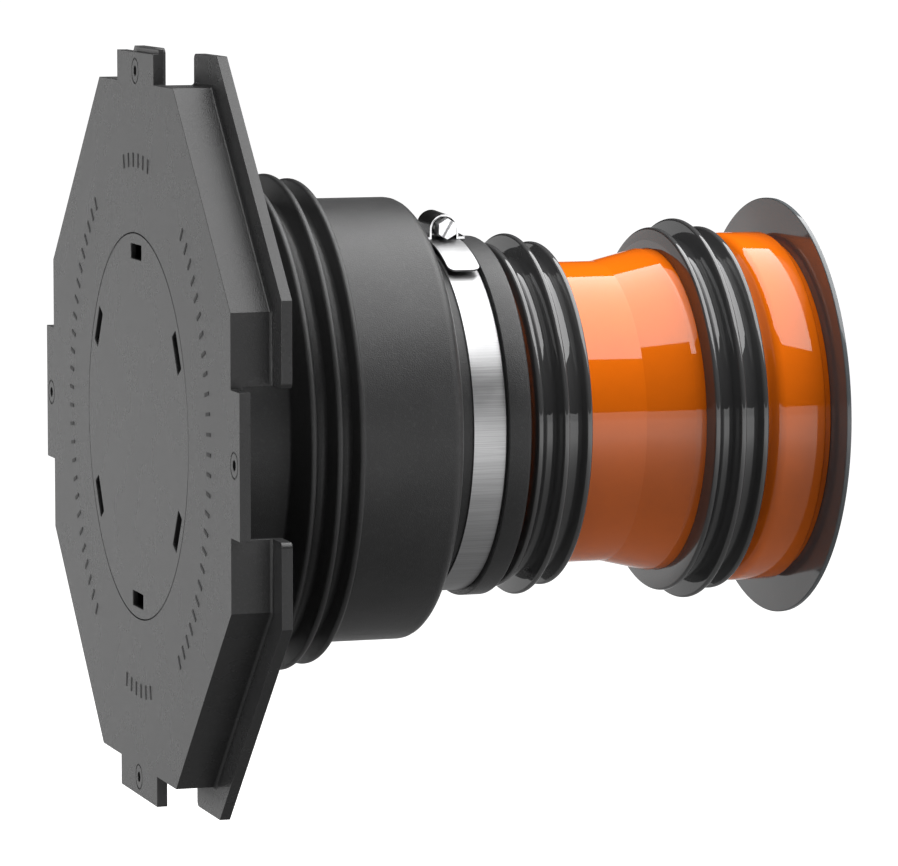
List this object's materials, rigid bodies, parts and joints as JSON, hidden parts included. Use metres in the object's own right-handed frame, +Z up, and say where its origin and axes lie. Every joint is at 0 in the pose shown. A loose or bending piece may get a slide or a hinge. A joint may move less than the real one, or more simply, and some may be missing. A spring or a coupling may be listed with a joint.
{
  "type": "wall pipe sleeve",
  "caption": "Wall feed-through for a drain pipe: formwork plate with round lid, finned rubber sleeve with steel band clamp, orange socket pipe with water-stop collars and end disc.",
  "frame": {"origin": "middle of the plate's front face, on the pipe's axis", "axes": "+X along the pipe, from the plate to the end disc; +Z up, through the clamp's case; -Y towards the side the clamp's screw is turned from"},
  "size_m": [0.2434, 0.267, 0.2684],
  "materials": {
    "form_plate": "satin moulded",
    "face_lid": "satin moulded",
    "sleeve_body": "matte",
    "clamp_band": "brushed",
    "clamp_housing": "pressed, bright",
    "clamp_screw": "bright",
    "socket_pipe": "glossy",
    "spigot_collar": "satin",
    "socket_collar": "satin",
    "socket_seal": "satin",
    "end_disc": "glossy"
  },
  "bodies": {
    "root": {"form_plate": "form_plate", "face_lid": "face_lid", "sleeve_body": "sleeve_body", "clamp_band": "clamp_band", "clamp_housing": "clamp_housing", "clamp_screw": "clamp_screw", "socket_pipe": "socket_pipe", "spigot_collar": "spigot_collar", "socket_collar": "socket_collar", "socket_seal": "socket_seal", "end_disc": "end_disc"}
  },
  "joints": []
}
